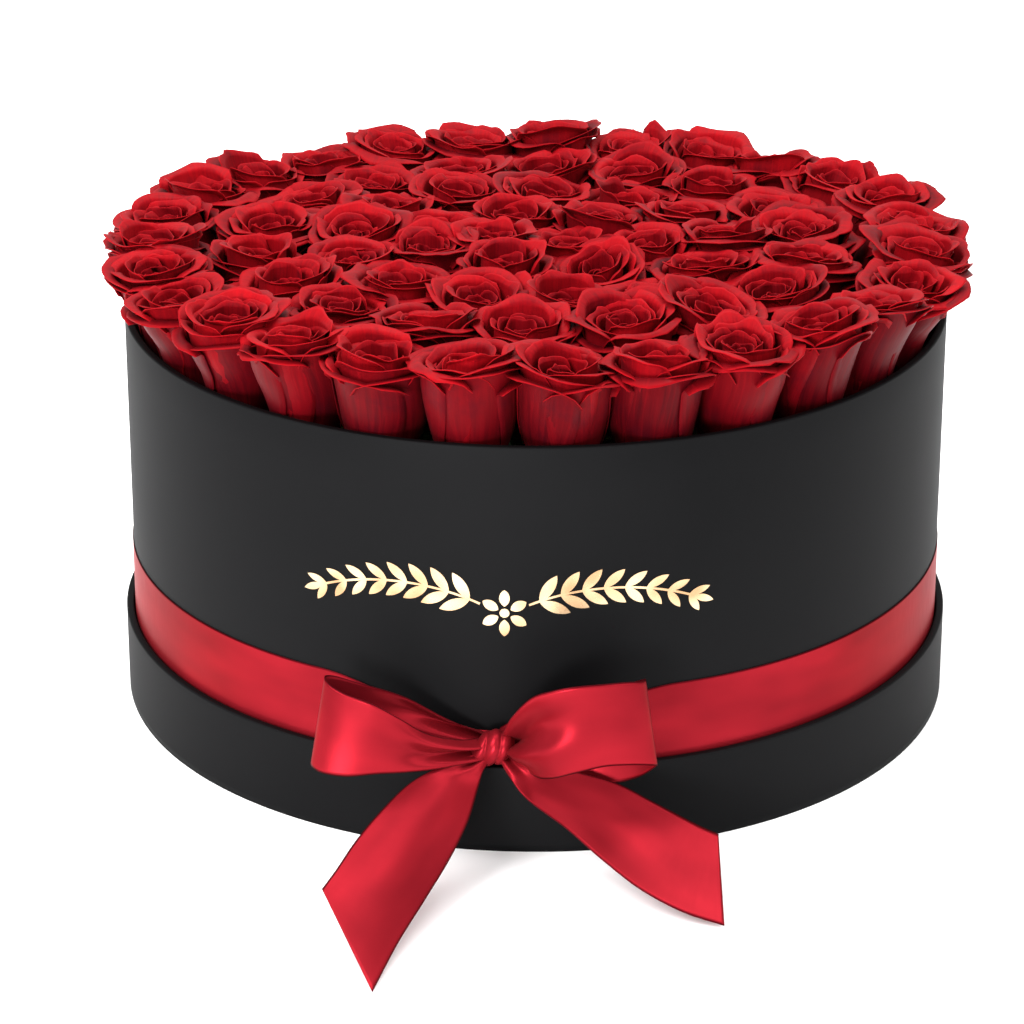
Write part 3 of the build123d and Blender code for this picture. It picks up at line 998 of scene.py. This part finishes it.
@dataclass
class Rose:
    """One preserved rose head on its place in the box."""

    name: str
    node: str
    body: str
    centre: tuple[float, float]
    cup: float  # radius of the cup below the lip
    stand: Stand
    outward: float  # direction away from the box's axis
    seed: int
    thickness: float = 0.38 * MM
    cup_rows: int = 7
    lip_rows: int = 8
    columns: int = 19
    cup_end: float = 0.78  # share of a petal's length below the turned lip
    turn_end: float = 0.6  # share of the rest taken by the turn, before the flat lip
    foot_radius: float = 0.42  # a petal's radius at its foot, as a share of its full one
    foot_width: float = 0.62  # a petal's reach round the head at its foot, as a share of its full one
    node_top: float = 7 * MM  # how far the CAD's head stands above the common lip height
    rear_sink: float = 7.5 * MM  # how far the rearmost heads stand below it
    front_rise: float = 5.2 * MM  # how far the foremost heads stand above it
    uneven_mm: float = 1.2  # spread of the heads' heights
    lean_out: float = 8.5 * MM  # how far a head at the rim leans out
    lean_sides: float = 5.0 * MM  # how much further it leans at the two sides
    lean_height: float = 32 * MM  # height over the box's rim by which the lean is complete
    sway: float = 0.04  # spread of a head's sideways lean
    tilt: float = 0.085  # spread of a head's slope
    tilt_height: float = 20 * MM  # height over the box's rim by which the slope is complete
    tightness: float = field(init=False, default=1.0)  # over 1 draws the inner whorls together

    def ragged(self, rng: np.random.Generator, s: np.ndarray) -> np.ndarray:
        """Works out how far the edge of a lip is torn in or drawn out, in millimetres.

        Four narrow tents of either sign stand at drawn places, and three broad outward ones stand
        at the two corners and the middle.

        Args:
            rng: the rose's dice.
            s: places over the petal's width, from -1 to 1.

        Returns:
            One distance for each place.
        """
        torn = sum(rng.uniform(-2.2, 1.8) * tent(s, rng.uniform(-0.9, 0.9), 0.17) for _ in range(4))
        drawn_out = sum(rng.uniform(0.4, 3.4) * tent(s, place, 0.3) for place in (-0.78, 0.02, 0.8))
        return torn + drawn_out

    def petal(
        self, rng: np.random.Generator, whorl: Whorl, around: float, rise: float, number: int
    ) -> Surface:
        """Works out one petal as a grid over its width, s from -1 to 1, and its length, t from 0 to 1.

        The petal stands on the cup's wall: its radius grows quickly from the base and then slowly,
        and its height grows evenly up to the lip, which turns over in an arc and goes on as a flat
        strip with a few points and tears. The corners stand lower than the middle, one side slips
        inwards, and the lip waves.

        Args:
            rng: the rose's dice.
            whorl: the turn that the petal belongs to.
            around: direction of its middle.
            rise: height of its lip over the head's base.
            number: its number in the head, which moves its map.

        Returns:
            The petal.
        """
        s = np.linspace(-1, 1, self.columns)[None, :]
        below = np.linspace(0, self.cup_end, self.cup_rows, endpoint=False)
        t = np.concatenate([below, np.linspace(self.cup_end, 1, self.lip_rows)])[:, None]
        up = np.clip(t / self.cup_end, 0, 1)
        over = np.clip((t - self.cup_end) / (1 - self.cup_end), 0, 1)
        turned = np.clip(over / self.turn_end, 0, 1)
        flat = np.clip((over - self.turn_end) / (1 - self.turn_end), 0, 1)
        depth = 1 - whorl.radius  # 0 for the outermost petals, near 1 for the heart
        half = math.radians(whorl.half_angle) * rng.uniform(0.92, 1.08)
        slack = 0.015 + 0.09 * depth  # the heart is looser than the outer petals
        stand_r = self.cup * whorl.radius**self.tightness * rng.uniform(1 - 1.4 * slack, 1 + slack)
        curl = math.radians(whorl.curl) * rng.uniform(0.65, 1.18)
        arc_r = whorl.curl_round * MM * rng.uniform(0.75, 1.2)
        corner = rng.uniform(0.02, 0.07) * np.abs(s) ** 2.5 + rng.uniform(0.06, 0.14) * np.abs(s) ** 9
        swell = self.foot_radius + (1 - self.foot_radius) * (1 - (1 - up) ** 3.6)
        swell = swell * (1 - whorl.close * up**2)
        width = self.foot_width + (1 - self.foot_width) * np.sin(up * math.pi / 2) ** 0.7
        angle = around + half * s * width
        one_sided = rng.uniform(-0.3, 0.3)
        bend = curl * turned * np.clip(1 - 0.25 * np.abs(s) ** 3 + one_sided * s, 0.2, 1.5)
        wave_n, wave_p = rng.uniform(0.8, 2.4), rng.uniform(0, 2 * math.pi)
        wave = np.sin(math.pi * wave_n * s + wave_p) * (0.25 * up**4 + over)
        wave = wave * rng.uniform(0.4, 1.5) * (1 - 0.9 * depth) * MM
        ragged = self.ragged(rng, s) * (1 - 0.8 * depth)
        reach = whorl.lip * rng.uniform(0.6, 1.25) * (1 - 0.45 * s**2) + ragged
        reach = np.maximum(reach, 0.05) * MM * flat
        radius = stand_r * swell + whorl.tuck * self.cup * s * (0.3 + 0.7 * up)
        radius = radius + arc_r * (1 - np.cos(bend)) + reach * np.sin(bend) + 0.4 * wave
        height = rise * (1 - corner) * up + arc_r * np.sin(bend) + reach * np.cos(bend) + wave
        crease = np.sin(s * math.pi * rng.uniform(1.5, 3.5) + rng.uniform(0, 6) + 1.5 * up)
        crease = crease * up * (1 - over)
        dent = np.sin(s * math.pi * rng.uniform(0.8, 1.6) + rng.uniform(0, 6))
        dent = dent * np.sin(up * math.pi * 0.9)
        radius = np.maximum(radius + (0.45 * crease + 0.5 * dent) * MM, 0.4 * MM)
        points = np.stack([radius * np.sin(angle), -radius * np.cos(angle), height], -1)
        # Painted shade: the whorl's value darkens the heart and the outer cups, and each petal darkens
        # towards its foot; the normal draw is the petals' own uneven tone.
        tone = np.clip(whorl.tone + rng.normal(0, 0.08) - 0.36 * (1 - up) ** 0.8, 0, 1)
        chart = np.stack(np.broadcast_arrays((s + 1) / 2 + 3.0 * number, t), -1)
        return Surface(points, chart, np.broadcast_to(tone, height.shape))

    def level(self) -> float:
        """Works out how far the head stands over the common height.

        It eases down from 20 mm in front of the middle over 190 mm towards the rear, and up from
        40 mm in front of the middle over 120 mm towards the front.

        Returns:
            The height in metres, below 0 at the rear.
        """
        y = self.centre[1]
        sunk = self.rear_sink * float(ease((y + 20 * MM) / (190 * MM)))
        raised = self.front_rise * float(ease((-y - 40 * MM) / (120 * MM)))
        return raised - sunk

    def petals(self) -> list[Surface]:
        """Works out the whole head, whorl by whorl, each turned against the one outside it.

        Above the box's rim the head slopes, sways to one side and, at the rim, leans out; each of
        these grows smoothly with the height.

        Returns:
            One surface for each petal.
        """
        rng = np.random.default_rng(self.seed)
        low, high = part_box(self.node)
        base, lip = low[2], high[2] - self.node_top
        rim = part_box("box_outer_cover")[1][2]
        shift = rng.normal(0, self.uneven_mm) * MM + self.level()
        self.tightness = float(rng.uniform(0.85, 1.2))
        turn = rng.uniform(0, 2 * math.pi)
        found = []
        for whorl in WHORLS:
            turn += math.pi / whorl.petals + rng.normal(0, 0.3)
            for k in range(whorl.petals):
                around = turn + 2 * math.pi * k / whorl.petals + rng.normal(0, 0.12)
                uneven = rng.normal(0, 1.0 + 1.2 * (whorl.radius > 0.6))
                rise = lip - base + shift + (whorl.rise + uneven) * MM
                found.append(self.petal(rng, whorl, around, rise, len(found)))
        sway = np.array([rng.normal(0, self.sway), rng.normal(0, self.sway)])
        slope = np.array([rng.normal(0, self.tilt), rng.normal(0, self.tilt)])
        out = np.array([math.cos(self.outward), math.sin(self.outward)])
        far = self.lean_out + self.lean_sides * abs(out[0]) ** 3 if self.stand is Stand.RIM else 0.0
        for surface in found:
            points = surface.points
            above = (points[..., 2] + base - rim)[..., None]
            tilted = (points[..., :2] @ slope) * ease(above[..., 0] / self.tilt_height)
            leaned = ease(above / self.lean_height) * far * out + np.maximum(above, 0.0) * sway
            points[..., 2] += tilted + base
            points[..., :2] += leaned + np.array(self.centre)
        return found

    def build(self, finish: bpy.types.Material) -> bpy.types.Object:
        """Builds the head as one piece with petals of real thickness.

        Args:
            finish: the petals' material.

        Returns:
            The finished piece.
        """
        piece = make_piece(self.name, self.petals(), finish, "petal")
        thicken(piece, self.thickness)
        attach(piece, self.body)
        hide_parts(self.node)
        return piece


@dataclass(frozen=True)
class Ring:
    """One ring of roses, in millimetres and degrees."""

    half_width: float
    half_depth: float
    roses: int
    first: float  # angle of the first rose from the front


@dataclass
class Bouquet:
    """The 67 roses in four rings round a middle pair, in the places that their stems have."""

    rings: tuple[Ring, ...] = (
        Ring(184.2, 184.2, 27, 7.8),
        Ring(139.0, 139.0, 18, 1.4),
        Ring(94.0, 94.0, 13, -13.1),
        Ring(57.0, 47.0, 7, -14.1),
    )
    scatter: float = 0.6  # in millimetres, for every ring but the outer one
    pair_x: float = 18.5
    pair_y: float = -5.0
    widest_cup: float = 22.3
    fullness: float = 1.045  # how far soft cups press into each other
    place_seed: int = 7
    first_seed: int = 100

    def places(self) -> list[tuple[int, float, float, float]]:
        """Works out where every rose stands.

        A rose stands on its ring's ellipse at an even share of the turn, moved a little each way.

        Returns:
            For each rose its ring, x and y in millimetres, and its outward angle; the middle pair
            has ring 0.
        """
        dice = random.Random(self.place_seed)
        found = []
        for number, ring in enumerate(self.rings, start=1):
            off = 0.0 if number == 1 else self.scatter
            for i in range(ring.roses):
                angle = math.radians(ring.first + i * 360 / ring.roses)
                x = ring.half_width * math.sin(angle) + dice.uniform(-off, off)
                y = -ring.half_depth * math.cos(angle) + dice.uniform(-off, off)
                found.append((number, x, y, angle - math.pi / 2))
        return found + [(0, -self.pair_x, self.pair_y, math.pi), (0, self.pair_x, self.pair_y, 0.0)]

    def build(self) -> list[bpy.types.Object]:
        """Builds every rose head.

        Returns:
            The heads.
        """
        velvet = PreservedPetal("rose_petal_preserved").material()
        places = self.places()
        heads = []
        for number, (ring, x, y, outward) in enumerate(places):
            stand = Stand.RIM if ring == 1 else Stand.FIELD
            node, body = f"ring_{ring}_heads" if ring else "middle_rose_head", "insert"
            if number == len(places) - 2:
                stand, node, body = Stand.LIFTED, "lift_out_rose_head", "lift_out_rose"
            others = places[:number] + places[number + 1 :]
            nearest = min(math.dist((x, y), (other[1], other[2])) for other in others)
            cup = min(nearest / 2, self.widest_cup) * self.fullness * MM
            seed = self.first_seed + number
            rose = Rose(
                f"rose_{number + 1:02d}", node, body, (x * MM, y * MM), cup, stand, outward, seed
            )
            heads.append(rose.build(velvet))
        return heads


# ---- The carried-over pieces --------------------------------------------------------------------
def dress(nodes: list[str], finish: bpy.types.Material) -> None:
    """Puts a finish on nodes that are shown as they are.

    Args:
        nodes: the nodes' names.
        finish: the material for every slot of each.
    """
    for name in nodes:
        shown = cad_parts[name]
        shown = shown if isinstance(shown, bpy.types.Object) else bpy.data.objects[shown]
        for place in shown.material_slots:
            place.material = finish
        if not shown.material_slots:
            shown.data.materials.append(finish)


# ---- The studio -------------------------------------------------------------------------------
@dataclass(frozen=True)
class SoftBox:
    """A square area light, in metres and watts, turned to the middle of the object."""

    name: str
    at: tuple[float, float, float]
    size: float
    power: float


@dataclass
class Studio:
    """Pale floor, soft light and the camera."""

    camera_at: tuple[float, float, float] = (127.006 * MM, -1862.988 * MM, 876.743 * MM)
    camera_forward: tuple[float, float, float] = (-0.06859763, 0.91847732, -0.38947884)
    lens_mm: float = 135.77
    sensor_mm: float = 36.0
    middle: tuple[float, float, float] = (0.0, 0.0, 0.12)
    floor_half: float = 6.0
    floor_dim: str = "FBFBFB"
    floor_bright: str = "FEFEFE"
    sky_strength: float = 0.75
    lights: tuple[SoftBox, ...] = (
        SoftBox("key", (-1.5, -1.7, 2.1), 1.5, 105.0),
        SoftBox("fill", (1.8, -1.4, 1.5), 1.8, 32.0),
        SoftBox("top", (0.0, 0.4, 2.6), 2.4, 115.0),
        SoftBox("front", (-0.7, -2.6, 0.15), 0.8, 95.0),
    )

    def build(self) -> None:
        """Sets up the camera, the floor, the sky and the lights."""
        self.add_camera()
        self.add_floor()
        world = bpy.data.worlds.new("studio")
        world.use_nodes = True
        sky = world.node_tree.nodes["Background"]
        sky.inputs["Color"].default_value = (1.0, 1.0, 1.0, 1.0)
        sky.inputs["Strength"].default_value = self.sky_strength
        bpy.context.scene.world = world
        for light in self.lights:
            self.add_light(light)
        bpy.context.scene.view_settings.view_transform = "Standard"

    def add_camera(self) -> None:
        """Adds the camera and makes it the scene's."""
        camera = bpy.data.objects.new("camera", bpy.data.cameras.new("camera"))
        camera.data.lens = self.lens_mm
        camera.data.sensor_width = self.sensor_mm
        camera.data.clip_end = 50.0
        camera.location = self.camera_at
        camera.rotation_euler = Vector(self.camera_forward).to_track_quat("-Z", "Y").to_euler()
        bpy.context.scene.collection.objects.link(camera)
        bpy.context.scene.camera = camera

    def add_floor(self) -> None:
        """Adds the pale floor: four corners, flat at height 0."""
        material, tree, shader = new_tree("studio_floor")
        place = add_node(tree, "TexCoord").outputs["Object"]
        cloud = add_node(tree, "TexNoise", {"Scale": 2.0}, {"Vector": place})
        stops = [(0.0, self.floor_dim), (1.0, self.floor_bright)]
        tree.links.new(add_ramp(tree, cloud.outputs["Fac"], stops), shader.inputs["Base Color"])
        shader.inputs["Roughness"].default_value = 0.8
        h = self.floor_half
        grid = np.array([[[-h, -h, 0], [h, -h, 0]], [[-h, h, 0], [h, h, 0]]], float)
        make_piece("floor", [Surface(grid, grid[:, :, :2])], material, "floor")

    def add_light(self, box: SoftBox) -> None:
        """Adds one area light that looks at the object's middle.

        Args:
            box: the light's place, size and power.
        """
        light = bpy.data.objects.new(box.name, bpy.data.lights.new(box.name, "AREA"))
        light.data.size = box.size
        light.data.energy = box.power
        light.location = box.at
        facing = Vector(self.middle) - Vector(box.at)
        light.rotation_euler = facing.to_track_quat("-Z", "Y").to_euler()
        bpy.context.scene.collection.objects.link(light)


def main() -> None:
    """Builds the whole flower box, sub-assembly by sub-assembly."""
    logging.basicConfig(level=logging.INFO, format="%(name)s: %(message)s")
    Studio().build()
    cover = SoftTouchPaper("soft_touch_paper_black").material()
    lining = SoftTouchPaper(
        "lining_paper_black", deep="18181A", pale="202123", roughness=0.75
    ).material()
    board = Greyboard().material()
    pieces = [
        PaperBand("box_outer_cover", "box", 20 * MM).build(cover),
        PaperBand("tray_band_wrap", "tray", 42 * MM).build(cover),
    ]
    papers = ["tray_underside_paper", "tray_floor_lining", "box_underside_paper"]
    dress(papers + ["box_floor_lining", "box_wall_lining"], lining)
    dress(["tray_panel_board", "tray_band_board", "box_floor_board", "box_wall_board"], board)
    dress(["foil_garland"], StampedFoil().material())
    # The darker first colour of each foam is painted shade in its pits.
    dress(["foam_disc"], CellFoam("floral_foam_green", "24351C", "48603A", 2.0, 0.5).material())
    dress(["riser_block"], CellFoam("riser_foam_beaded", "63625E", "8F8E88", 4.0, 0.6).material())
    groups = ["ring_1", "ring_2", "ring_3", "ring_4"]
    sepals = [f"{g}_calyxes" for g in groups] + ["middle_rose_calyx", "lift_out_rose_calyx"]
    stems = [f"{g}_stems" for g in groups] + ["middle_rose_stem", "lift_out_rose_stem"]
    dress(sepals, PlantGreen("rose_sepal_dyed").material())
    dress(stems, PlantGreen("rose_stem_dyed", "34401F", "6A7A40").material())
    pieces += RibbonAndBow().build()
    pieces += Bouquet().build()
    for piece in pieces:
        LOG.info("%s: %d points", piece.name, len(piece.data.vertices))


if __name__ == "__main__":
    main()
